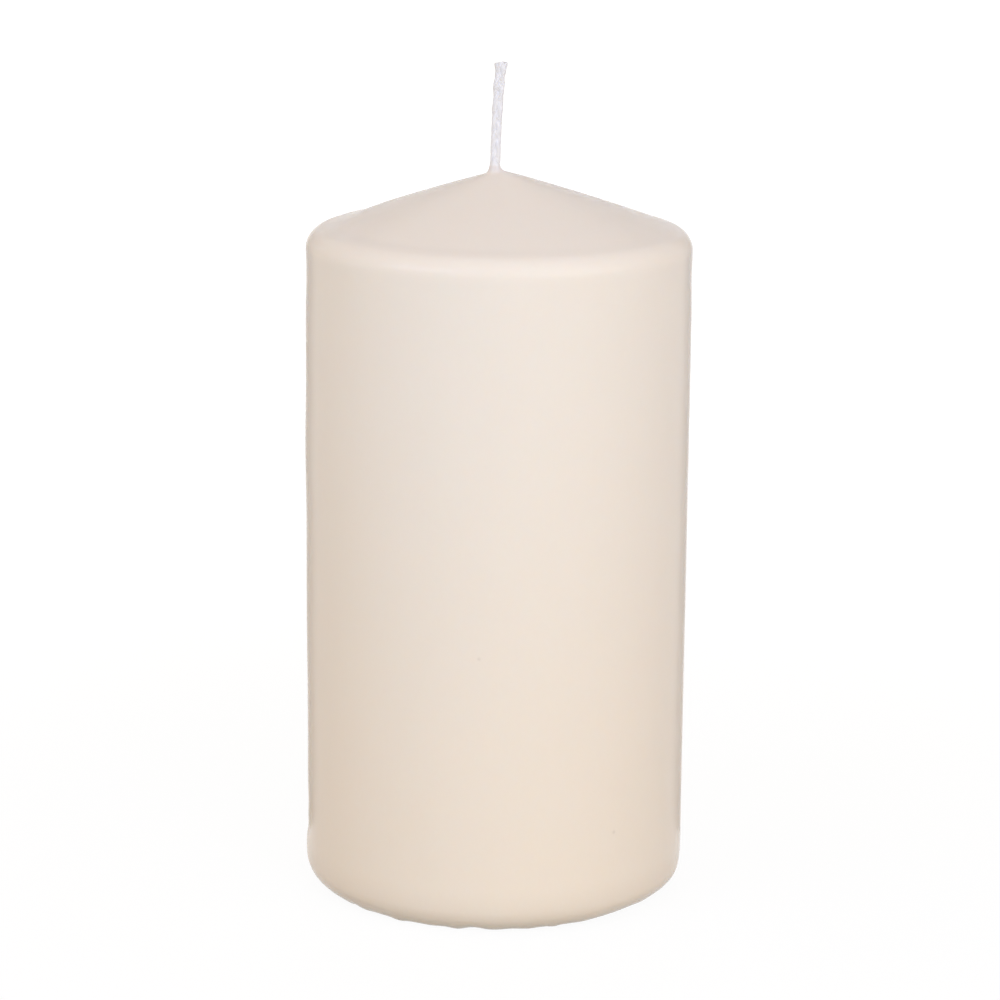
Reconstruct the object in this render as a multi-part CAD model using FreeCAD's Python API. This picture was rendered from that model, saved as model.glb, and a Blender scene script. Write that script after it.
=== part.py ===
import FreeCAD, Part
import math
import os

from FreeCAD import Vector

# A plain pillar candle in millimetres: a moulded wax pillar and the plaited cotton wick in it.
# +Z is up, the foot stands on z = 0 and the Z axis is the axis of the pillar.
# The front, as it is usually seen, faces -Y.

# The wax pillar
pillar_diameter = 68.0
pillar_height = 130.0  # from the foot to the rim of wax round the wick
cone_slope = 18.5  # degrees
shoulder_radius = 3.85
foot_edge_radius = 4.35

# The underside: a flat ring to stand on, round a shallow recess with a sloping side
recess_radius = 24.0
recess_depth = 0.7
recess_side_width = 4.0

# The wax climbs the wick in a small round fillet that ends in a thin rim
climb_radius = 0.7
rim_width = 0.07
rim_height = 0.05

# The wick stands a little off the axis; its free end, the stub, bends back towards the axis
wick_diameter = 1.66
wick_offset = -0.83  # along X
stub_length = 17.85
stub_tip_offset = -0.03  # along X
stub_bend_power = 1.6  # 1 is a straight lean; more keeps the stub upright at its foot

# The stub is a flat plait of three strands, soaked in wax until they share one skin
strand_count = 3
strand_diameter = 1.0
strand_swing_x = 0.49  # how far a strand's centre swings across the plait
strand_swing_y = 0.19  # how far it swings through the plait
plait_pitch = 9.9  # height in which a strand comes back to its place
plait_start = 0.056  # share of a pitch that the first strand has run at the rim
root_depth = 1.0  # how far the stub reaches down into the round part of the wick
root_taper = 0.6  # height above the rim in which the stub goes from round to plaited
root_fill = 0.9  # share of the round part's radius that the stub's own root takes
splay = 0.2  # share by which the strands spread and swell at the cut end
splay_length = 1.5

section_spacing = 0.8
outline_points = 16  # points of the stub's outline in each section
box_slack = 0.05  # a box round a curve can be this much larger than the curve

pillar_radius = pillar_diameter / 2
wick_radius = wick_diameter / 2
strand_radius = strand_diameter / 2
collar_radius = wick_radius + rim_width
slope = math.radians(cone_slope)
# Height of the rim above the corner that the climbing fillet fills
climb_height = climb_radius / math.tan((math.pi / 2 + slope) / 2) + rim_height
# The cone's sides would meet at this height; the wax round the wick hides that point
cone_point = pillar_height - climb_height


def arc(centre, radius, start, end):
    """Arc in the XZ plane between two angles, in radians from +X towards +Z."""
    angles = (start, (start + end) / 2, end)
    points = [centre + Vector(radius * math.cos(a), 0, radius * math.sin(a)) for a in angles]
    return Part.Arc(*points).toShape()


def line(start, end):
    return Part.LineSegment(start, end).toShape()


def shoulder_centre():
    """Centre of the shoulder's arc, which touches the cone's side and the wall."""
    x = pillar_radius - shoulder_radius
    return Vector(x, 0, cone_point - x * math.tan(slope) - shoulder_radius / math.cos(slope))


def pillar_outline():
    """Closed half section of the pillar, from the cone's point down to the foot and back up the axis."""
    point = Vector(0, 0, cone_point)
    shoulder = shoulder_centre()
    cone_foot = shoulder + Vector(math.sin(slope), 0, math.cos(slope)) * shoulder_radius
    wall_top = Vector(pillar_radius, 0, shoulder.z)
    wall_foot = Vector(pillar_radius, 0, foot_edge_radius)
    foot_edge = Vector(pillar_radius - foot_edge_radius, 0, foot_edge_radius)
    ring_outside = Vector(foot_edge.x, 0, 0)
    ring_inside = Vector(recess_radius, 0, 0)
    recess_edge = Vector(recess_radius - recess_side_width, 0, recess_depth)
    recess_middle = Vector(0, 0, recess_depth)
    return Part.Wire(
        [
            line(point, cone_foot),
            arc(shoulder, shoulder_radius, math.pi / 2 - slope, 0),
            line(wall_top, wall_foot),
            arc(foot_edge, foot_edge_radius, 0, -math.pi / 2),
            line(ring_outside, ring_inside),
            line(ring_inside, recess_edge),
            line(recess_edge, recess_middle),
            line(recess_middle, point),
        ]
    )


def make_pillar():
    return Part.Face(pillar_outline()).revolve(Vector(0, 0, 0), Vector(0, 0, 1), 360)


def make_collar():
    """The wax that sticks to the wick, up to the rim, from inside the pillar at the shoulder's height."""
    root = shoulder_centre().z
    return Part.makeCylinder(collar_radius, pillar_height - root, Vector(wick_offset, 0, root))


def collar_corner(shape):
    """The edges where the collar comes out of the cone, below the rim and wider than its own seam."""
    room = collar_radius + box_slack
    found = []
    for edge in shape.Edges:
        box = edge.BoundBox
        on_collar = box.XMin > wick_offset - room and box.XMax < wick_offset + room
        below_rim = shoulder_centre().z < box.ZMin and box.ZMax < pillar_height - rim_height / 2
        if on_collar and below_rim and box.YLength > collar_radius:
            found.append(edge)
    return found


def make_solid_wax():
    """The wax before the wick's channel, drawn up round the wick by the climbing fillet."""
    wax = make_pillar().fuse(make_collar())
    return wax.makeFillet(climb_radius, collar_corner(wax))


def make_channel():
    """The round space that the wick takes in the wax, from under the foot to the rim."""
    return Part.makeCylinder(wick_radius, pillar_height, Vector(wick_offset, 0, 0))


def smooth_step(value):
    value = min(max(value, 0), 1)
    return value * value * (3 - 2 * value)


def stub_centre(height):
    """Centre of the stub at this height above the rim; below the rim it stays on the wick's axis."""
    share = max(0, height / stub_length)
    lean = (stub_tip_offset - wick_offset) * share**stub_bend_power
    return Vector(wick_offset + lean, 0, pillar_height + height)


def strand_circle(strand, height):
    """Centre, from the stub's own centre, and radius of a strand; it crosses the plait as it climbs."""
    turn = 2 * math.pi * (height / plait_pitch + strand / strand_count + plait_start)
    spread = 1 + splay * smooth_step(1 - (stub_length - height) / splay_length)
    centre = Vector(strand_swing_x * math.sin(turn), strand_swing_y * math.sin(2 * turn), 0)
    return centre * spread, strand_radius * spread


def way_out(direction, centre, radius):
    """How far a ray from the stub's centre goes until it leaves a strand, or 0 where it misses the strand."""
    along = direction.dot(centre)
    inside = radius**2 - centre.dot(centre) + along**2
    return along + math.sqrt(inside) if inside > 0 else 0


def stub_section(height):
    """Outline round the strands at this height above the rim; wax fills the furrows, and the root is round."""
    circles = [strand_circle(strand, height) for strand in range(strand_count)]
    plaited = smooth_step(height / root_taper)
    poles = []
    for step in range(outline_points):
        angle = 2 * math.pi * step / outline_points
        direction = Vector(math.cos(angle), math.sin(angle), 0)
        plait = max(way_out(direction, *circle) for circle in circles)
        distance = plaited * plait + (1 - plaited) * root_fill * wick_radius
        poles.append(stub_centre(height) + direction * distance)
    outline = Part.BSplineCurve()
    outline.buildFromPoles(poles, True)
    return Part.Wire([outline.toShape()])


def make_stub():
    length = stub_length + root_depth
    count = round(length / section_spacing)
    heights = [length * step / count - root_depth for step in range(count + 1)]
    return Part.makeLoft([stub_section(height) for height in heights], True, False)


def make_wick(solid_wax):
    """Round in the channel and flush with the recess underneath, with the plaited stub on top."""
    core = make_channel().common(solid_wax)
    return core.fuse(make_stub())


def build():
    solid_wax = make_solid_wax()
    return {
        "wax_body": solid_wax.cut(make_channel()),
        "wick": make_wick(solid_wax),
    }


os.makedirs("parts", exist_ok=True)
for name, shape in build().items():
    shape.exportStep("parts/" + name + ".step")
    print(name, "solids", len(shape.Solids), "valid", shape.isValid(), "volume", round(shape.Volume, 2))
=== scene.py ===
import bpy
import bmesh
import math
from mathutils import Matrix, Vector


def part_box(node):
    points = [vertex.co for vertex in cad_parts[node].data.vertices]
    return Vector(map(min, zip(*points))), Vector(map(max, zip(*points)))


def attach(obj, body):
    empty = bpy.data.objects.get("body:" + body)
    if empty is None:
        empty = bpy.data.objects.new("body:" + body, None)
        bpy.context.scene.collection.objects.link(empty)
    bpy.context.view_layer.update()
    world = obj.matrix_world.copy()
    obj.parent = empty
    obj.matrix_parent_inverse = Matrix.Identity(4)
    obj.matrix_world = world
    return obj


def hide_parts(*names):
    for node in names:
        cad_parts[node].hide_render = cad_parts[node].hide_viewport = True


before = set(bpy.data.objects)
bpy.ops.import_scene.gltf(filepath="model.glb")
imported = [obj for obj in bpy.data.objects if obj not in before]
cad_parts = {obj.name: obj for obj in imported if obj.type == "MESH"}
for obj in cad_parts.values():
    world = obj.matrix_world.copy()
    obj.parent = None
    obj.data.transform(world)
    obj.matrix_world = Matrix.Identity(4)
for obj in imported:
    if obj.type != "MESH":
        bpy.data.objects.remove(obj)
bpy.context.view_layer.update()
print("frame loaded")

# The candle stands at the origin, in metres. Sizes in the dictionaries are millimetres, angles are degrees.
mm = 0.001
waxLow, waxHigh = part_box("wax_body")
wickLow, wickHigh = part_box("wick")
wickHole = {"radius": 0.83, "place": -0.83}  # the wick's channel in the wax, and where it stands along X


# Nodes and trees

def plug(tree, socket, value):  # a link from another socket, or a plain value
    if isinstance(value, bpy.types.NodeSocket):
        tree.links.new(value, socket)
    else:
        socket.default_value = value


def addNode(tree, kind, settings=None, inputs=None):
    made = tree.nodes.new(kind)
    for name, value in (settings or {}).items():
        setattr(made, name, value)
    for name, value in (inputs or {}).items():
        plug(tree, made.inputs[name], value)
    return made


def calc(tree, operation, *values):
    made = addNode(tree, "ShaderNodeMath", {"operation": operation})
    for socket, value in zip(made.inputs, values):
        plug(tree, socket, value)
    return made.outputs[0]


def total(tree, *values):
    result = values[0]
    for value in values[1:]:
        result = calc(tree, "ADD", result, value)
    return result


def product(tree, *values):
    result = values[0]
    for value in values[1:]:
        result = calc(tree, "MULTIPLY", result, value)
    return result


def vectorCalc(tree, operation, *values):
    made = addNode(tree, "ShaderNodeVectorMath", {"operation": operation})
    for socket, value in zip(made.inputs, values):
        plug(tree, socket, value)
    return made.outputs["Value"] if operation in ("LENGTH", "DOT_PRODUCT", "DISTANCE") else made.outputs[0]


def scaled(tree, vector, amount):
    made = addNode(tree, "ShaderNodeVectorMath", {"operation": "SCALE"}, {"Vector": vector, "Scale": amount})
    return made.outputs[0]


def combine(tree, x=0.0, y=0.0, z=0.0):
    return addNode(tree, "ShaderNodeCombineXYZ", None, {"X": x, "Y": y, "Z": z}).outputs[0]


def separate(tree, vector):
    return addNode(tree, "ShaderNodeSeparateXYZ", None, {0: vector}).outputs


def smooth(tree, value, low, high, start=0.0, end=1.0):  # a soft step from start to end
    made = addNode(tree, "ShaderNodeMapRange", {"interpolation_type": "SMOOTHSTEP"}, {
        "Value": value, "From Min": low, "From Max": high, "To Min": start, "To Max": end})
    return made.outputs["Result"]


def chooseByIndex(tree, kind, values):  # one value for each point of a line
    made = addNode(tree, "GeometryNodeIndexSwitch", {"data_type": kind})
    while len(made.index_switch_items) < len(values):
        made.index_switch_items.new()
    for place, value in enumerate(values):
        plug(tree, made.inputs[str(place)], value)
    plug(tree, made.inputs["Index"], addNode(tree, "GeometryNodeInputIndex").outputs[0])
    return made.outputs[0]


def newTree(name, sizes):  # a geometry tree with one named input for each size
    kinds = {int: "NodeSocketInt", float: "NodeSocketFloat", bpy.types.Material: "NodeSocketMaterial"}
    tree = bpy.data.node_groups.new(name, "GeometryNodeTree")
    for label, value in sizes.items():
        tree.interface.new_socket(name=label, in_out="INPUT", socket_type=kinds[type(value)])
    tree.interface.new_socket(name="Geometry", in_out="OUTPUT", socket_type="NodeSocketGeometry")
    return tree, addNode(tree, "NodeGroupInput").outputs


def moved(tree, geometry, **how):  # Set Position, by an Offset or to a Position
    return addNode(tree, "GeometryNodeSetPosition", None, {"Geometry": geometry, **how}).outputs[0]


def endTree(tree, geometry, material):  # the export drops instances, so the tree makes them real
    real = addNode(tree, "GeometryNodeRealizeInstances", None, {"Geometry": geometry}).outputs[0]
    done = addNode(tree, "GeometryNodeSetMaterial", None, {"Geometry": real, "Material": material}).outputs[0]
    plug(tree, addNode(tree, "NodeGroupOutput").inputs[0], done)


def makePiece(name, tree, sizes, finishers=()):  # runs the tree, then keeps the result as a plain mesh
    piece = bpy.data.objects.new(name, bpy.data.meshes.new(name + "Seed"))
    shaper = piece.modifiers.new("shape", "NODES")
    shaper.node_group = tree
    for item in tree.interface.items_tree:
        if item.in_out == "INPUT":
            shaper[item.identifier] = sizes[item.name]
    for kind, settings in finishers:
        modifier = piece.modifiers.new(kind.lower(), kind)
        for setting, value in settings.items():
            setattr(modifier, setting, value)
    bpy.context.scene.collection.objects.link(piece)
    bpy.context.view_layer.update()
    made = bpy.data.meshes.new_from_object(piece.evaluated_get(bpy.context.evaluated_depsgraph_get()))
    piece.modifiers.clear()
    piece.data = made
    made.name = name
    print(name, "made with", len(made.vertices), "points and", len(made.polygons), "faces")
    return piece


def dress(piece, material, node):
    piece.data.materials.clear()
    piece.data.materials.append(material)
    for face in piece.data.polygons:
        face.material_index = 0
        face.use_smooth = True
    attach(piece, "root")
    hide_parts(node)


# Shared effects

def newEffect(name, inputs, outputs):
    tree = bpy.data.node_groups.new(name, "ShaderNodeTree")
    for label, kind in inputs:
        tree.interface.new_socket(name=label, in_out="INPUT", socket_type="NodeSocket" + kind)
    for label, kind in outputs:
        tree.interface.new_socket(name=label, in_out="OUTPUT", socket_type="NodeSocket" + kind)
    return tree, addNode(tree, "NodeGroupInput").outputs, addNode(tree, "NodeGroupOutput").inputs


def makeMottle():  # soft clouds and a fine grain, as wax and waxed cotton both have
    tree, given, result = newEffect(
        "waxMottle",
        [("Vector", "Vector"), ("Cloud Scale", "Float"), ("Grain Scale", "Float")],
        [("Cloud", "Float"), ("Grain", "Float")],
    )
    cloud = addNode(tree, "ShaderNodeTexNoise", None, {
        "Vector": given["Vector"], "Scale": given["Cloud Scale"], "Detail": 3.0, "Roughness": 0.55})
    grain = addNode(tree, "ShaderNodeTexNoise", None, {
        "Vector": given["Vector"], "Scale": given["Grain Scale"], "Detail": 2.0, "Roughness": 0.5})
    plug(tree, result["Cloud"], cloud.outputs["Fac"])
    plug(tree, result["Grain"], grain.outputs["Fac"])
    return tree


def useEffect(tree, effect, inputs):
    made = addNode(tree, "ShaderNodeGroup", {"node_tree": effect})
    for name, value in inputs.items():
        plug(tree, made.inputs[name], value)
    return made.outputs


def newMaterial(name, shine):
    material = bpy.data.materials.new(name)
    material.use_nodes = True
    tree = material.node_tree
    shader = next(n for n in tree.nodes if n.type == "BSDF_PRINCIPLED")
    for label, value in shine.items():
        shader.inputs[label].default_value = value
    return material, tree, shader.inputs


def colourMix(tree, share, first, second, blend="MIX"):
    made = addNode(tree, "ShaderNodeMix", {"data_type": "RGBA", "blend_type": blend})
    for place, value in ((0, share), (6, first), (7, second)):
        plug(tree, made.inputs[place], value)
    return made.outputs[2]


mottle = makeMottle()


# Wax

waxFinish = {
    # warmer and a little darker towards the foot: partly the wax's own tone, partly painted shade low down
    "footColour": (0.86, 0.748, 0.625, 1.0),
    "topColour": (0.845, 0.765, 0.68, 1.0),
    "topFrom": 0.85,  # share of the height at which the foot's colour has given way to the top's
    "edgeShadeColour": (0.765, 0.655, 0.535, 1.0),  # the lower edge, darker and warmer: painted shade where little light reaches it by the floor
    "edgeShadeUpTo": 9.0,  # mm
    "bloomColour": (0.89, 0.845, 0.79, 1.0),  # paler where the wax has bloomed
    "bloomShare": 0.12,
    "climbColour": (0.765, 0.705, 0.69, 1.0),  # where it climbs the wick
    "climbSpan": (-1.6, -0.6),  # heights from the rim, in mm, between which that colour comes in
    "filmColour": (0.83, 0.79, 0.805, 1.0),  # where it is a film on the wick
    "filmSpan": (-0.3, 0.2),
    "pinholes": [(38.1, 16.8, 0.55), (-4.7, 50.0, 0.5)],  # degrees to the right, height and radius in mm; the pinholes are not in the surface, only their shade is painted
    "pinholePaintedShade": (0.9, 0.89, 0.88, 1.0),
    "roughness": 0.2,
    "roughnessSpread": 0.04,
    "cloudScale": 130.0,
    "grainScale": 1300.0,
    "grainDepth": 0.004,  # mm
    "swellDepth": 0.012,  # mm
}


def makeWaxMaterial(finish):
    material, tree, shader = newMaterial("creamWax", {
        "Subsurface Weight": 0.4,
        "Subsurface Radius": (1.0, 0.8, 0.65),
        "Subsurface Scale": 0.001,
        "Specular IOR Level": 0.18,
    })
    spot = addNode(tree, "ShaderNodeTexCoord").outputs["Object"]
    height = separate(tree, spot)[2]
    along = vectorCalc(tree, "MULTIPLY", spot, (1.0, 1.0, 0.6))  # the mould was drawn off upwards
    marks = useEffect(tree, mottle, {
        "Vector": along, "Cloud Scale": finish["cloudScale"], "Grain Scale": finish["grainScale"]})
    # partly painted shade: the colour goes from the foot's to the top's with height
    upward = smooth(tree, height, 0.0, waxHigh.z * finish["topFrom"])
    colour = colourMix(tree, upward, finish["footColour"], finish["topColour"])
    # painted shade: the colour darkens towards the lower edge
    edge = smooth(tree, height, 0.5 * mm, finish["edgeShadeUpTo"] * mm, 1.0, 0.0)
    colour = colourMix(tree, edge, colour, finish["edgeShadeColour"])
    bloom = product(tree, total(tree, marks["Cloud"], marks["Grain"]), finish["bloomShare"])
    colour = colourMix(tree, bloom, colour, finish["bloomColour"])
    for turn, place, radius in finish["pinholes"]:
        turn = math.radians(turn)
        middle = Vector((waxHigh.x * math.sin(turn), -waxHigh.x * math.cos(turn), place * mm))
        # painted shade of each pinhole: the colour darkens round its middle
        near = smooth(tree, vectorCalc(tree, "DISTANCE", spot, middle), 0.0, radius * mm, 1.0, 0.0)
        colour = colourMix(tree, near, colour, finish["pinholePaintedShade"], "MULTIPLY")
    for label in ("climb", "film"):
        low, high = (waxHigh.z + place * mm for place in finish[label + "Span"])
        colour = colourMix(tree, smooth(tree, height, low, high), colour, finish[label + "Colour"])
    plug(tree, shader["Base Color"], colour)
    spread = finish["roughnessSpread"]
    plug(tree, shader["Roughness"],
         calc(tree, "MULTIPLY_ADD", marks["Cloud"], spread, finish["roughness"] - spread / 2))
    swell = addNode(tree, "ShaderNodeTexNoise", None, {
        "Vector": spot, "Scale": finish["cloudScale"], "Detail": 1.0})
    relief = total(tree, product(tree, marks["Grain"], finish["grainDepth"] * mm),
                   product(tree, swell.outputs["Fac"], finish["swellDepth"] * mm))
    bump = addNode(tree, "ShaderNodeBump", None, {"Height": relief, "Strength": 1.0, "Distance": 1.0})
    plug(tree, shader["Normal"], bump.outputs[0])
    return material


creamWax = makeWaxMaterial(waxFinish)
print("wax material made")

# The wax pillar: its half section is turned round the axis, then the small faults of a moulded one go on
waxShape = {
    "coneSlope": 18.5,
    "shoulderRadius": 3.85,
    "footRadius": 4.35,
    "ringInside": 24.0,  # the foot's flat ring starts here
    "recessDepth": 0.7,
    "recessSide": 4.0,
    "tipBlunting": 1.3,  # rounds the cone's point, which the wick goes through
    "coneCrown": 0.1,  # how far the cone swells halfway up
    "coneLean": 0.2,  # degrees that the cone leans to the left
    "crownMiddle": 15.0,  # distance from the axis at which it swells most
    "crownReach": 10.0,
    "coneEnd": 28.0,  # from here to the shoulder's start the cone's own shape dies away
    "shoulderStart": 31.0,
    "climbHeight": 0.554,  # of the rim, above the cone's own point
    "climbReach": 0.3,  # how quickly the wax that climbs the wick dies away
    "climbReachSide": 0.06,  # more on the right, less on the left
    "climbLift": 0.3,  # how far it climbs past the rim
    "climbLiftSide": 0.55,  # less on the right, more on the left
    "climbStart": 0.86,  # distance from the wick's middle at which it reaches that height
    "climbUneven": 0.5,
    "waveHeight": 0.09,
    "waveScale": 32.0,
    "lipHeight": 0.06,  # lumps of the lower edge
    "lipScale": 125.0,
    "lipReach": 5.0,  # how far up they go
    "columns": 288,
    "seed": 4,
}

# Soft swells and dents: degrees from the front towards the right; height, width, tallness and amount in mm
waxLumps = [
    (-90, 6.0, 14, 4.5, 0.15),  # bead above the foot on the left
    (-90, 9.2, 14, 2.8, -0.15),  # and dents over it
    (-90, 13.5, 14, 6, -0.15),
    (-90, 30, 30, 26, -0.12),
    (-90, 79, 30, 14, 0.15),
    (-90, 111, 30, 7, -0.13),  # the wall draws in under the shoulder
    (90, 111, 30, 7, -0.13),
    (-96, 119.5, 9, 5, -0.2),  # the shoulder is a little lower on the left
    (-112, 121.5, 9, 5, -0.25),
    (88, 2.5, 9, 4, -0.25),
    (-53.5, 0.3, 1.6, 3.5, 0.07),  # from here on the uneven lower edge
    (-49.8, 0.3, 1.6, 3.5, -0.16),
    (-45.4, 0.3, 2.2, 3.5, 0.14),
    (-31.5, 0.3, 2.2, 3.5, 0.21),
    (-29.3, 0.3, 12, 3.5, 0.05),
    (-20.5, 0.3, 2.2, 3.5, 0.09),
    (-11.7, 0.3, 2.2, 3.5, 0.19),
    (-5.9, 0.3, 3.0, 3.5, -0.27),
    (-0.7, 0.3, 4.0, 3.5, 0.07),
    (5.8, 0.3, 2.2, 3.5, -0.07),
    (11.7, 0.3, 1.6, 3.5, 0.09),
    (19.8, 0.3, 1.6, 3.5, 0.16),
    (19.8, 0.3, 8, 3.5, -0.12),
    (30.0, 0.3, 2.2, 3.5, 0.06),
    (50.5, 0.3, 18, 3.5, -0.33),
    (55.6, 0.3, 3.0, 3.5, 0.12),
    (71.0, 0.3, 8, 3.5, -0.11),
    (118, 0.8, 5, 3.5, 0.16),
    (150, 0.8, 7, 3.5, -0.20),
    (171, 0.3, 2.5, 3.5, 0.15),
    (203, 0.6, 4, 3.5, 0.18),
    (222, 0.3, 2.2, 3.5, -0.14),
    (241, 0.8, 8, 3.5, -0.18),
]


def makeWaxTree(sizes):
    tree, given = newTree("waxPillar", sizes)
    radius, top, slope = given["Radius"], given["Rim height"], calc(tree, "TANGENT", given["Cone slope"])
    wickRadius, wickPlace = given["Wick radius"], given["Wick place"]
    point = calc(tree, "SUBTRACT", top, given["Climb height"])

    def onCone(r):  # the cone's height at this distance from the axis
        return calc(tree, "SUBTRACT", point, product(tree, r, slope))

    # Half section, from the wick outwards over the cone, down the wall, under the foot and back to the wick
    nearWick = calc(tree, "MULTIPLY", wickRadius, 0.98)
    inWick = calc(tree, "MULTIPLY", wickRadius, 0.7)  # the wax on top reaches into the wick, so no gap shows
    recessInside = calc(tree, "SUBTRACT", given["Ring inside"], given["Recess side"])
    corners = [
        # distance from the axis, height, rounding and its steps, distance between rows up to the next corner
        (inWick, onCone(inWick), 0.0, 1, 0.07 * mm),
        (2.6 * mm, onCone(2.6 * mm), 0.0, 1, 0.36 * mm),
        (7.0 * mm, onCone(7.0 * mm), 0.0, 1, 0.85 * mm),
        (radius, onCone(radius), given["Shoulder radius"], 12, 0.85 * mm),
        (radius, 0.0, given["Foot radius"], 16, 0.7 * mm),
        (given["Ring inside"], 0.0, 0.8 * mm, 3, 0.6 * mm),
        (recessInside, given["Recess depth"], 1.5 * mm, 3, 1.3 * mm),
        (nearWick, given["Recess depth"], 0.0, 1, 1.0),
    ]
    line = addNode(tree, "GeometryNodeMeshLine", None, {"Count": len(corners)}).outputs[0]
    outline = addNode(tree, "GeometryNodeMeshToCurve", None, {"Mesh": line}).outputs[0]
    places = [combine(tree, calc(tree, "SUBTRACT", away, radius), calc(tree, "MULTIPLY", height, -1.0))
              for away, height, _, _, _ in corners]
    outline = moved(tree, outline, Position=chooseByIndex(tree, "VECTOR", places))
    outline = addNode(tree, "GeometryNodeSetSplineCyclic", None, {
        "Geometry": outline, "Cyclic": True}).outputs[0]
    outline = addNode(tree, "GeometryNodeStoreNamedAttribute", {"data_type": "FLOAT", "domain": "POINT"}, {
        "Geometry": outline, "Name": "rowGap",
        "Value": chooseByIndex(tree, "FLOAT", [corner[4] for corner in corners])}).outputs[0]
    outline = addNode(tree, "GeometryNodeFilletCurve", {"mode": "POLY"}, {
        "Curve": outline,
        "Count": chooseByIndex(tree, "INT", [corner[3] for corner in corners]),
        "Radius": chooseByIndex(tree, "FLOAT", [corner[2] for corner in corners])}).outputs[0]

    # Rows between the corners, as many as each run's length asks for
    here = addNode(tree, "GeometryNodeInputPosition").outputs[0]
    count = addNode(tree, "GeometryNodeAttributeDomainSize", {"component": "CURVE"}, {"Geometry": outline})
    index = addNode(tree, "GeometryNodeInputIndex").outputs[0]
    following = calc(tree, "MODULO", calc(tree, "ADD", index, 1.0), count.outputs["Point Count"])
    after = addNode(tree, "GeometryNodeFieldAtIndex", {"data_type": "FLOAT_VECTOR"}, {
        "Index": following, "Value": here}).outputs[0]
    gap = addNode(tree, "GeometryNodeInputNamedAttribute", {"data_type": "FLOAT"}, {
        "Name": "rowGap"}).outputs[0]
    rows = calc(tree, "FLOOR", calc(tree, "DIVIDE", vectorCalc(tree, "DISTANCE", here, after), gap))
    outline = addNode(tree, "GeometryNodeSubdivideCurve", None, {"Curve": outline, "Cuts": rows}).outputs[0]

    ring = addNode(tree, "GeometryNodeCurvePrimitiveCircle", {"mode": "RADIUS"}, {
        "Resolution": given["Columns"], "Radius": radius}).outputs[0]
    skin = addNode(tree, "GeometryNodeCurveToMesh", None, {
        "Curve": ring, "Profile Curve": outline}).outputs[0]

    # The channel stands off the axis, so the rows near it are drawn over to it
    x, y, z = separate(tree, here)
    fromAxis = vectorCalc(tree, "LENGTH", combine(tree, x, y))
    pull = smooth(tree, fromAxis, 1.5 * mm, 16 * mm, wickPlace, 0.0)
    skin = moved(tree, skin, Offset=combine(tree, pull))

    # The cone: its point is blunt, it swells a little halfway up, and wax climbs the wick
    onTop = calc(tree, "GREATER_THAN", z, calc(tree, "MULTIPLY", top, 0.8))
    blunt = calc(tree, "SQRT", calc(tree, "ADD", calc(tree, "POWER", fromAxis, 2.0),
                                    calc(tree, "POWER", given["Tip blunting"], 2.0)))
    fromMiddle = calc(tree, "SUBTRACT", fromAxis, given["Crown middle"])
    across = calc(tree, "DIVIDE", fromMiddle, given["Crown reach"])
    fall = calc(tree, "SUBTRACT", 1.0, calc(tree, "MULTIPLY", across, across))
    crown = product(tree, given["Cone crown"], fall)
    lean = product(tree, x, calc(tree, "TANGENT", given["Cone lean"]))
    surface = total(tree, onCone(blunt), crown, lean)
    fromWick = combine(tree, calc(tree, "SUBTRACT", x, wickPlace), y)
    wickGap = vectorCalc(tree, "LENGTH", fromWick)
    rightward = calc(tree, "DIVIDE", calc(tree, "SUBTRACT", x, wickPlace), wickGap)
    unevenClimb = addNode(tree, "ShaderNodeTexNoise", {"noise_dimensions": "3D"}, {
        "Vector": vectorCalc(tree, "NORMALIZE", fromWick), "Scale": 1.3, "Detail": 1.0}).outputs["Fac"]
    unevenClimb = calc(tree, "MULTIPLY", calc(tree, "SUBTRACT", unevenClimb, 0.5), given["Climb uneven"])
    reach = total(tree, given["Climb reach"], product(tree, rightward, given["Climb reach side"]))
    climbLift = total(tree, given["Climb lift"], unevenClimb,
                      product(tree, rightward, given["Climb lift side"], -1.0))
    fromStart = calc(tree, "SUBTRACT", given["Climb start"], wickGap)
    share = calc(tree, "EXPONENT", calc(tree, "DIVIDE", fromStart, reach))
    climb = product(tree, calc(tree, "SUBTRACT", total(tree, top, climbLift), surface),
                    calc(tree, "MINIMUM", share, 1.5))
    toSurface = calc(tree, "SUBTRACT", total(tree, surface, climb), z)
    beforeShoulder = smooth(tree, fromAxis, given["Cone end"], given["Shoulder start"], 1.0, 0.0)
    lift = product(tree, onTop, beforeShoulder, toSurface)
    skin = moved(tree, skin, Offset=combine(tree, 0.0, 0.0, lift))

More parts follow.
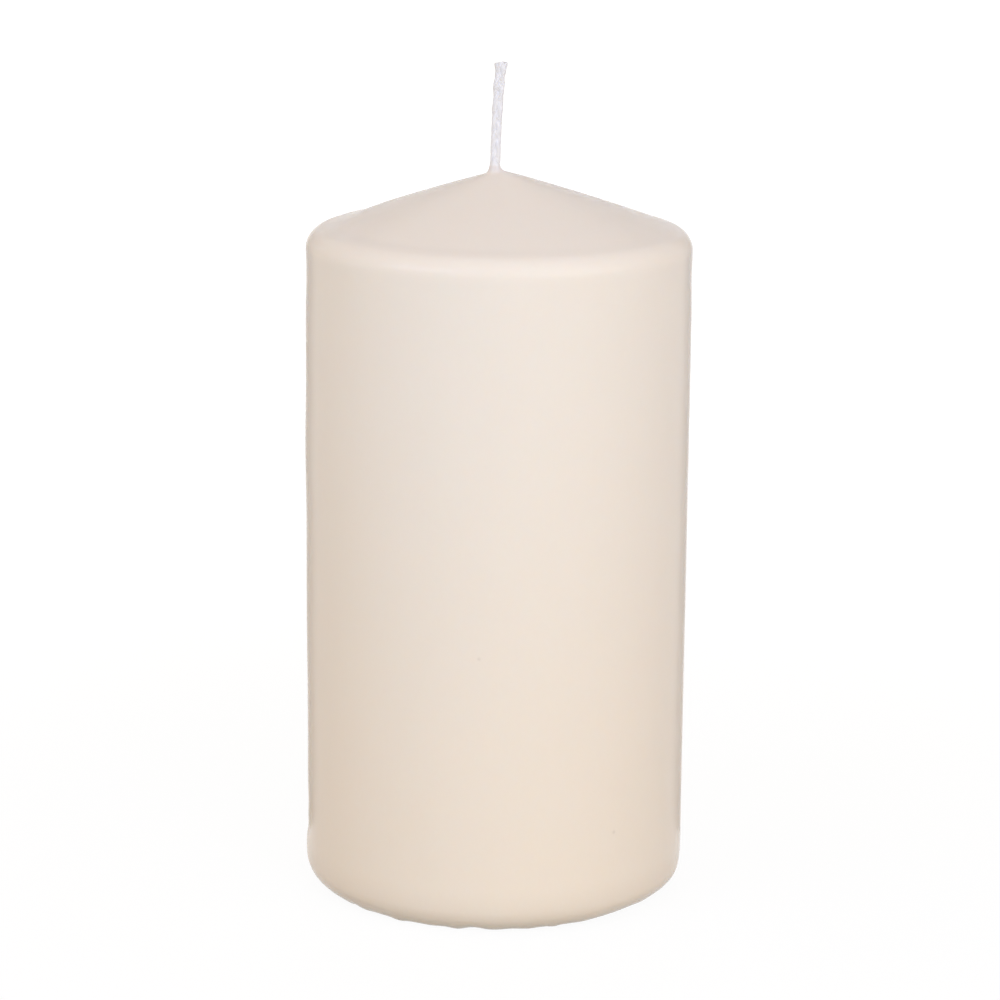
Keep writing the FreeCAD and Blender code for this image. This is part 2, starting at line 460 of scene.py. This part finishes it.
    # Waves of the wall, the uneven lower edge, and the lumps and dents named above
    outside = calc(tree, "GREATER_THAN", fromAxis, 3 * mm)  # the wax by the wick stays smooth
    wave = addNode(tree, "ShaderNodeTexNoise", {"noise_dimensions": "4D"}, {
        "Vector": here, "W": given["Seed"], "Scale": given["Wave scale"],
        "Detail": 1.0, "Roughness": 0.4}).outputs["Fac"]
    lip = addNode(tree, "ShaderNodeTexNoise", {"noise_dimensions": "4D"}, {
        "Vector": here, "W": given["Seed"], "Scale": given["Lip scale"],
        "Detail": 1.0, "Roughness": 0.5}).outputs["Fac"]
    lipMask = smooth(tree, z, 0.5 * mm, given["Lip reach"], 1.0, 0.0)
    swells = [
        product(tree, calc(tree, "SUBTRACT", wave, 0.5), given["Wave height"], 2.0),
        product(tree, calc(tree, "SUBTRACT", lip, 0.5), lipMask, given["Lip height"], 2.0),
    ]
    for angle, height, width, tallness, amount in waxLumps:
        turn = math.radians(angle)
        inwards = 2.7 * mm if height < 2 else 4.5 * mm if height > 118 else 0.0  # both edges curve in
        out = waxHigh.x - inwards
        centre = (math.sin(turn) * out, -math.cos(turn) * out, height * mm)
        away = vectorCalc(tree, "SUBTRACT", here, centre)
        away = vectorCalc(tree, "MULTIPLY", away, (1 / (width * mm), 1 / (width * mm), 1 / (tallness * mm)))
        near = smooth(tree, vectorCalc(tree, "LENGTH", away), 0.0, 1.0, 1.0, 0.0)
        swells.append(product(tree, near, amount * mm))
    push = product(tree, total(tree, *swells), outside)
    normal = addNode(tree, "GeometryNodeInputNormal").outputs[0]
    skin = moved(tree, skin, Offset=scaled(tree, normal, push))
    aboveTable = calc(tree, "MAXIMUM", z, 0.0)
    skin = moved(tree, skin, Position=combine(tree, x, y, aboveTable))
    endTree(tree, skin, given["Material"])
    return tree


waxSizes = {
    "Radius": waxHigh.x,
    "Rim height": waxHigh.z,
    "Cone slope": math.radians(waxShape["coneSlope"]),
    "Shoulder radius": waxShape["shoulderRadius"] * mm,
    "Foot radius": waxShape["footRadius"] * mm,
    "Ring inside": waxShape["ringInside"] * mm,
    "Recess depth": waxShape["recessDepth"] * mm,
    "Recess side": waxShape["recessSide"] * mm,
    "Climb height": waxShape["climbHeight"] * mm,
    "Tip blunting": waxShape["tipBlunting"] * mm,
    "Cone crown": waxShape["coneCrown"] * mm,
    "Crown middle": waxShape["crownMiddle"] * mm,
    "Crown reach": waxShape["crownReach"] * mm,
    "Cone end": waxShape["coneEnd"] * mm,
    "Shoulder start": waxShape["shoulderStart"] * mm,
    "Cone lean": math.radians(waxShape["coneLean"]),
    "Climb reach": waxShape["climbReach"] * mm,
    "Climb reach side": waxShape["climbReachSide"] * mm,
    "Climb lift": waxShape["climbLift"] * mm,
    "Climb lift side": waxShape["climbLiftSide"] * mm,
    "Climb start": waxShape["climbStart"] * mm,
    "Climb uneven": waxShape["climbUneven"] * mm,
    "Wave height": waxShape["waveHeight"] * mm,
    "Wave scale": waxShape["waveScale"],
    "Lip height": waxShape["lipHeight"] * mm,
    "Lip scale": waxShape["lipScale"],
    "Lip reach": waxShape["lipReach"] * mm,
    "Wick radius": wickHole["radius"] * mm,
    "Wick place": wickHole["place"] * mm,
    "Columns": waxShape["columns"],
    "Seed": float(waxShape["seed"]),
    "Material": creamWax,
}
waxPillar = makePiece("waxPillar", makeWaxTree(waxSizes), waxSizes)
dress(waxPillar, creamWax, "wax_body")


# The wick: three strands of twisted yarn, plaited flat and soaked in wax until they share one skin

wickFinish = {
    "cottonColour": (0.80, 0.79, 0.82, 1.0),
    # the streaks along the fibres, darker in their low parts: painted shade in the furrows
    "furrowShadeColour": (0.74, 0.73, 0.75, 1.0),
    "waxedColour": (0.83, 0.80, 0.81, 1.0),  # where wax climbs the wick
    "waxedSpan": (0.4, 2.4),  # mm above the rim
    "waxedUneven": 1.2,
    "roughness": (0.4, 0.62),
    "cloudScale": 900.0,
    "grainScale": 6000.0,
    "fibreScale": 9000.0,
    "fibreDepth": 0.012,  # mm
}


def makeWickMaterial(finish):
    material, tree, shader = newMaterial("waxedCotton", {
        "Subsurface Weight": 0.35,
        "Subsurface Radius": (1.0, 0.95, 0.9),
        "Subsurface Scale": 0.0007,
        "Specular IOR Level": 0.35,
    })
    spot = addNode(tree, "ShaderNodeTexCoord").outputs["Object"]
    marks = useEffect(tree, mottle, {
        "Vector": spot, "Cloud Scale": finish["cloudScale"], "Grain Scale": finish["grainScale"]})
    along = vectorCalc(tree, "MULTIPLY", spot, (1.0, 1.0, 0.07))
    fibres = addNode(tree, "ShaderNodeTexNoise", None, {
        "Vector": along, "Scale": finish["fibreScale"], "Detail": 2.0, "Roughness": 0.6}).outputs["Fac"]
    # painted shade: darker where the fibres' relief is low
    furrow = smooth(tree, fibres, 0.3, 0.65)
    cotton = colourMix(tree, furrow, finish["furrowShadeColour"], finish["cottonColour"])
    height = separate(tree, spot)[2]
    low, high = (waxHigh.z + place * mm for place in finish["waxedSpan"])
    uneven = product(tree, marks["Cloud"], finish["waxedUneven"] * mm)
    waxed = smooth(tree, total(tree, height, uneven), low, high, 1.0, 0.0)
    plug(tree, shader["Base Color"], colourMix(tree, waxed, cotton, finish["waxedColour"]))
    plug(tree, shader["Roughness"], smooth(tree, marks["Cloud"], 0.3, 0.7, *finish["roughness"]))
    relief = total(tree, product(tree, fibres, finish["fibreDepth"] * mm),
                   product(tree, marks["Grain"], 0.2 * finish["fibreDepth"] * mm))
    bump = addNode(tree, "ShaderNodeBump", None, {"Height": relief, "Strength": 1.0, "Distance": 1.0})
    plug(tree, shader["Normal"], bump.outputs[0])
    return material


waxedCotton = makeWickMaterial(wickFinish)

wickShape = {
    "strands": 3,
    "yarns": 8,  # in each strand; the first is the wax that fills its middle
    "strandRadius": 0.5,
    "yarnRadius": 0.2,
    "furrowDepth": 0.035,  # how deep the yarns' furrows show in the wax
    "swingAcross": 0.49,
    "swingThrough": 0.19,
    "evenness": 0.2,  # at 0.25 both edges of the plait bulge together, at 0 in turns
    "pitch": 9.9,  # height in which a strand comes back to its place
    "start": 0.056,  # share of a pitch that the first strand has run at the rim
    "twist": 13.0,  # height in which a yarn turns once round its strand
    "wander": 0.035,  # how far a yarn strays
    "wanderRate": 420.0,  # how quickly it does, in cycles for each metre of height
    "steps": 110,  # points along a yarn
    "sides": 14,  # points round it
    "tipPlace": -0.03,  # along X, at the cut end
    "bendPower": 1.6,  # 1 is a straight lean
    "rootDepth": 1.0,  # how far the strands reach below the rim
    "rootTaper": 0.6,  # height in which they come out of the round part
    "splay": 0.25,  # share by which the strands spread at the cut end
    "splayLength": 1.9,
    "cutUneven": 0.06,
    "cutSlant": 0.05,  # the cut end stands higher on the right
    "skinGrain": 0.047,  # size of the remesh that joins the yarns
    "coreRadius": 0.81,  # the round part, a little slack in its channel
    "coreTop": 0.3,  # how far below the rim it ends
    "seed": 11,
}

# Places where the plait is thicker or out of line: height above the rim, length, share, shift along X
wickSwells = [
    (9.9, 1.2, 0.09, -0.03),
    (13.6, 1.1, 0.17, -0.06),
    (16.7, 1.7, 0.05, 0.09),
]


def makeWickTree(sizes):
    tree, given = newTree("wickPlait", sizes)
    yarnCount = given["Yarns"]
    line = addNode(tree, "GeometryNodeCurvePrimitiveLine").outputs[0]
    line = addNode(tree, "GeometryNodeResampleCurve", {"mode": "COUNT"}, {
        "Curve": line, "Count": given["Steps"]}).outputs[0]
    share = addNode(tree, "GeometryNodeSplineParameter").outputs["Factor"]
    copies = addNode(tree, "GeometryNodeDuplicateElements", {"domain": "SPLINE"}, {
        "Geometry": line, "Amount": calc(tree, "MULTIPLY", given["Strands"], yarnCount)})
    number = copies.outputs["Duplicate Index"]
    strand = calc(tree, "FLOOR", calc(tree, "DIVIDE", number, yarnCount))
    yarn = calc(tree, "MODULO", number, yarnCount)

    def chance(low, high, salt):  # a number of its own for each yarn
        made = addNode(tree, "FunctionNodeRandomValue", {"data_type": "FLOAT"}, {
            2: low, 3: high, "ID": number, "Seed": calc(tree, "ADD", given["Seed"], salt)})
        return made.outputs[1]

    fullTurn = 2 * math.pi

    def strandTurn(height):
        runs = total(tree, calc(tree, "DIVIDE", height, given["Pitch"]),
                     calc(tree, "DIVIDE", strand, given["Strands"]), given["Start"])
        return calc(tree, "MULTIPLY", runs, fullTurn)

    # Each yarn's own length: the cut is ragged and a little higher on the right
    side = calc(tree, "SINE", strandTurn(given["Stub length"]))
    length = total(tree, given["Stub length"], product(tree, chance(-1.0, 0.0, 1), given["Cut uneven"]),
                   product(tree, calc(tree, "SUBTRACT", side, 1.0), given["Cut slant"]))
    run = calc(tree, "ADD", length, given["Root depth"])
    height = calc(tree, "SUBTRACT", product(tree, share, run), given["Root depth"])

    # Centre of the stub, which bends back towards the axis
    rise = calc(tree, "MAXIMUM", calc(tree, "DIVIDE", height, given["Stub length"]), 0.0)
    lean = product(tree, calc(tree, "SUBTRACT", given["Tip place"], given["Wick place"]),
                   calc(tree, "POWER", rise, given["Bend power"]))
    centre = calc(tree, "ADD", given["Wick place"], lean)

    # The strand's place in the plait, drawn together at the root and spread at the cut end
    toTip = calc(tree, "SUBTRACT", given["Stub length"], height)
    nearTip = smooth(tree, toTip, 0.0, given["Splay length"], 1.0, 0.0)
    spread = calc(tree, "ADD", 1.0, product(tree, nearTip, given["Splay"]))
    for place, extent, amount, shift in wickSwells:
        away = calc(tree, "ABSOLUTE", calc(tree, "SUBTRACT", height, place * mm))
        near = smooth(tree, away, 0.0, extent * mm, 1.0, 0.0)
        spread = calc(tree, "ADD", spread, product(tree, near, amount))
        centre = calc(tree, "ADD", centre, product(tree, near, shift * mm))
    plaitReach = calc(tree, "ADD", given["Swing across"], given["Strand radius"])
    rootReach = calc(tree, "DIVIDE", given["Wick radius"], plaitReach)
    spread = product(tree, spread, smooth(tree, height, 0.0, given["Root taper"], rootReach, 1.0))
    turn = strandTurn(height)
    across = calc(tree, "ADD", calc(tree, "SINE", turn),
                  product(tree, calc(tree, "SINE", calc(tree, "MULTIPLY", turn, 3.0)), given["Evenness"]))
    strandX = product(tree, across, given["Swing across"], spread)
    through = calc(tree, "SINE", calc(tree, "MULTIPLY", turn, 2.0))
    strandY = product(tree, through, given["Swing through"], spread)

    # The yarn's place in its strand: the wax in the middle, the others twisted round it
    ringed = calc(tree, "GREATER_THAN", yarn, 0.5)
    runs = total(tree, calc(tree, "DIVIDE", yarn, calc(tree, "SUBTRACT", yarnCount, 1.0)),
                 calc(tree, "DIVIDE", height, given["Twist"]),
                 calc(tree, "MULTIPLY", strand, 0.37))  # so that the strands aren't twisted alike
    yarnTurn = calc(tree, "MULTIPLY", runs, fullTurn)
    ringRadius = product(tree, calc(tree, "SUBTRACT", given["Strand radius"], given["Yarn radius"]),
                         ringed, spread)
    along = calc(tree, "MULTIPLY", height, given["Wander rate"])
    apart = calc(tree, "MULTIPLY", number, 7.3)  # so that each yarn strays in its own way
    wander = addNode(tree, "ShaderNodeTexNoise", {"noise_dimensions": "2D"}, {
        "Vector": combine(tree, along, apart), "Scale": 1.0, "Detail": 1.0}).outputs["Color"]
    wander = scaled(tree, vectorCalc(tree, "SUBTRACT", wander, (0.5, 0.5, 0.5)),
                    calc(tree, "MULTIPLY", given["Wander"], 2.0))
    wanderX, wanderY, _ = separate(tree, wander)
    x = total(tree, centre, strandX, product(tree, calc(tree, "COSINE", yarnTurn), ringRadius), wanderX)
    y = total(tree, strandY, product(tree, calc(tree, "SINE", yarnTurn), ringRadius), wanderY)
    place = combine(tree, x, y, calc(tree, "ADD", height, given["Rim height"]))
    yarns = moved(tree, copies.outputs["Geometry"], Position=place)
    outline = addNode(tree, "GeometryNodeCurvePrimitiveCircle", {"mode": "RADIUS"}, {
        "Resolution": given["Sides"], "Radius": given["Yarn radius"]}).outputs[0]
    filling = calc(tree, "SUBTRACT", given["Strand radius"], given["Furrow depth"])
    middle = product(tree, calc(tree, "DIVIDE", filling, given["Yarn radius"]),
                     calc(tree, "SUBTRACT", 1.0, ringed))
    girth = product(tree, spread, total(tree, ringed, middle))
    skin = addNode(tree, "GeometryNodeCurveToMesh", None, {
        "Curve": yarns, "Profile Curve": outline, "Scale": girth, "Fill Caps": True}).outputs[0]
    endTree(tree, skin, given["Material"])
    return tree


wickSizes = {
    "Strands": wickShape["strands"],
    "Yarns": wickShape["yarns"],
    "Steps": wickShape["steps"],
    "Sides": wickShape["sides"],
    "Strand radius": wickShape["strandRadius"] * mm,
    "Yarn radius": wickShape["yarnRadius"] * mm,
    "Furrow depth": wickShape["furrowDepth"] * mm,
    "Swing across": wickShape["swingAcross"] * mm,
    "Swing through": wickShape["swingThrough"] * mm,
    "Evenness": wickShape["evenness"],
    "Pitch": wickShape["pitch"] * mm,
    "Start": wickShape["start"],
    "Twist": wickShape["twist"] * mm,
    "Wander": wickShape["wander"] * mm,
    "Wander rate": wickShape["wanderRate"],
    "Wick radius": wickHole["radius"] * mm,
    "Wick place": wickHole["place"] * mm,
    "Tip place": wickShape["tipPlace"] * mm,
    "Bend power": wickShape["bendPower"],
    "Rim height": waxHigh.z,
    "Stub length": wickHigh.z - waxHigh.z,
    "Root depth": wickShape["rootDepth"] * mm,
    "Root taper": wickShape["rootTaper"] * mm,
    "Splay": wickShape["splay"],
    "Splay length": wickShape["splayLength"] * mm,
    "Cut uneven": wickShape["cutUneven"] * mm,
    "Cut slant": wickShape["cutSlant"] * mm,
    "Seed": wickShape["seed"],
    "Material": waxedCotton,
}
wickPlait = makePiece("wickPlait", makeWickTree(wickSizes), wickSizes, [
    ("REMESH", {"mode": "VOXEL", "voxel_size": wickShape["skinGrain"] * mm}),
    ("SMOOTH", {"factor": 0.5, "iterations": 4}),
])


def addCore(piece, radius, place, low, high):  # the round part of the wick, in the wax
    shell = bmesh.new()
    shell.from_mesh(piece.data)
    bmesh.ops.create_cone(shell, cap_ends=True, segments=48, radius1=radius, radius2=radius,
                          depth=high - low, matrix=Matrix.Translation((place, 0, (low + high) / 2)))
    shell.to_mesh(piece.data)
    shell.free()


addCore(wickPlait, wickShape["coreRadius"] * mm, wickHole["place"] * mm,
        wickLow.z, waxHigh.z - wickShape["coreTop"] * mm)
dress(wickPlait, waxedCotton, "wick")
print("wick made")


# Camera, floor and lights

cameraPlace = {"location": (0.00054, -0.6054, 0.2143), "lookDown": 13.42, "roll": 0.5435, "lens": 125.47}


def makeCamera(place):
    camera = bpy.data.objects.new("camera", bpy.data.cameras.new("camera"))
    camera.data.lens = place["lens"]
    camera.data.sensor_width = 36.0
    camera.data.clip_start = 0.01
    tilt = Matrix.Rotation(math.radians(90 - place["lookDown"]), 4, "X")
    roll = Matrix.Rotation(math.radians(place["roll"]), 4, "Z")
    camera.matrix_world = Matrix.Translation(place["location"]) @ tilt @ roll
    bpy.context.scene.collection.objects.link(camera)
    bpy.context.scene.camera = camera


makeCamera(cameraPlace)

# The floor shows white, with a share of its own colour near the candle that keeps the shadow
floorFinish = {
    "colour": (0.5, 0.49, 0.48, 1.0),
    "whiteShare": 0.85,  # near the candle; all of it is white far away
    "near": 0.05,  # metres from the candle's axis
    "far": 0.6,
    "glow": 1.1,
    "halfWidth": 4.0,
}


def seenDirectly(tree):  # 1 for what the camera, a reflection or glass shows
    path = addNode(tree, "ShaderNodeLightPath").outputs
    return calc(tree, "MAXIMUM", calc(tree, "MAXIMUM", path["Is Camera Ray"], path["Is Glossy Ray"]),
                path["Is Transmission Ray"])


def stageSheet(name, corners, paint):  # a flat sheet that belongs to the studio; paint makes its surface
    mesh = bpy.data.meshes.new(name)
    mesh.from_pydata(corners, [], [(0, 1, 2, 3)])
    sheet = bpy.data.objects.new(name, mesh)
    bpy.context.scene.collection.objects.link(sheet)
    material = bpy.data.materials.new(name + "Paint")
    material.use_nodes = True
    tree = material.node_tree
    tree.nodes.clear()
    plug(tree, addNode(tree, "ShaderNodeOutputMaterial").inputs["Surface"], paint(tree))
    mesh.materials.append(material)
    return sheet


def makeFloor(finish):
    def paint(tree):
        matt = addNode(tree, "ShaderNodeBsdfDiffuse", None, {"Color": finish["colour"]}).outputs[0]
        white = addNode(tree, "ShaderNodeEmission", None, {
            "Color": (1, 1, 1, 1), "Strength": finish["glow"]}).outputs[0]
        distance = vectorCalc(tree, "LENGTH", addNode(tree, "ShaderNodeTexCoord").outputs["Object"])
        whiteness = smooth(tree, distance, finish["near"], finish["far"], finish["whiteShare"], 1.0)
        share = calc(tree, "MULTIPLY", seenDirectly(tree), whiteness)
        return addNode(tree, "ShaderNodeMixShader", None, {0: share, 1: matt, 2: white}).outputs[0]

    half = finish["halfWidth"]
    stageSheet("floor", [(-half, -half, 0), (half, -half, 0), (half, half, 0), (-half, half, 0)], paint)


makeFloor(floorFinish)

# A faint warm sky, which is white wherever it is seen
worldLight = {"colour": (1.0, 0.872, 0.737, 1.0), "strength": 0.55}


def makeWorld(light):
    world = bpy.data.worlds.new("studio")
    world.use_nodes = True
    tree = world.node_tree
    tree.nodes.clear()
    seen = seenDirectly(tree)
    strength = addNode(tree, "ShaderNodeMapRange", None, {
        "Value": seen, "To Min": light["strength"], "To Max": 1.0}).outputs["Result"]
    colour = colourMix(tree, seen, light["colour"], (1.0, 1.0, 1.0, 1.0))
    glow = addNode(tree, "ShaderNodeBackground", None, {"Color": colour, "Strength": strength}).outputs[0]
    plug(tree, addNode(tree, "ShaderNodeOutputWorld").inputs["Surface"], glow)
    bpy.context.scene.world = world


makeWorld(worldLight)

# Grey cards close behind the candle, hidden from the camera, give its edges their contour by reflection
cards = {
    "cardLeft": {"across": (-0.056, -0.041), "behind": 0.022, "up": (0.0, 0.13), "grey": 0.6},
    "cardRight": {"across": (0.041, 0.056), "behind": 0.022, "up": (0.0, 0.13), "grey": 0.6},
    "cardBack": {"across": (-0.06, 0.06), "behind": 0.07, "up": (0.118, 0.17), "grey": 0.8},
}


def makeCard(name, place):
    def paint(tree):
        grey = place["grey"]
        return addNode(tree, "ShaderNodeBsdfDiffuse", None, {"Color": (grey, grey, grey, 1.0)}).outputs[0]

    (left, right), (foot, top), depth = place["across"], place["up"], place["behind"]
    corners = [(left, depth, foot), (right, depth, foot), (right, depth, top), (left, depth, top)]
    card = stageSheet(name, corners, paint)
    card.visible_camera = card.visible_diffuse = card.visible_shadow = False


for name, place in cards.items():
    makeCard(name, place)

# Softboxes, each tinted as the photograph's light is on its side: degrees to the right of the camera and
# above the table, distance in metres, width and height, watts
softboxes = {
    "keyRight": {
        "turn": 50, "rise": 21, "away": 1.1, "size": (1.1, 0.35), "power": 2.5, "tint": (1.0, 0.93, 0.87)},
    "keyLeft": {
        "turn": -50, "rise": 33, "away": 1.1, "size": (0.8, 0.35), "power": 2.8, "tint": (0.51, 0.65, 0.98)},
    "front": {
        "turn": 20, "rise": 28, "away": 1.1, "size": (0.6, 0.4), "power": 3.05, "tint": (0.3, 0.5, 1.0)},
    "low": {
        "turn": 5, "rise": 8, "away": 1.3, "size": (0.9, 0.2), "power": 4.85, "tint": (1.0, 1.0, 0.74)},
    "sideLeft": {
        "turn": -105, "rise": 20, "away": 1.0, "size": (0.6, 0.8), "power": 1.5, "tint": (1.0, 0.74, 0.32)},
    "back": {
        "turn": 180, "rise": 6, "away": 1.1, "size": (0.3, 0.2), "power": 4.4, "tint": (0.7, 0.82, 1.0)},
}
aim = Vector((0, 0, 0.07))  # the middle of the candle


def makeSoftbox(name, box):
    lamp = bpy.data.lights.new(name, "AREA")
    lamp.shape = "RECTANGLE"
    lamp.size, lamp.size_y = box["size"]
    lamp.energy = box["power"]
    lamp.color = box["tint"]
    turn, rise = math.radians(box["turn"]), math.radians(box["rise"])
    out = Vector((math.sin(turn) * math.cos(rise), -math.cos(turn) * math.cos(rise), math.sin(rise)))
    holder = bpy.data.objects.new(name, lamp)
    holder.location = aim + out * box["away"]
    holder.rotation_euler = out.to_track_quat("Z", "Y").to_euler()
    holder.visible_glossy = name.startswith("key")  # only the two keys are seen on the shoulder
    bpy.context.scene.collection.objects.link(holder)


for name, box in softboxes.items():
    makeSoftbox(name, box)
bpy.context.scene.view_settings.view_transform = "Standard"
print("camera, floor and lights placed")
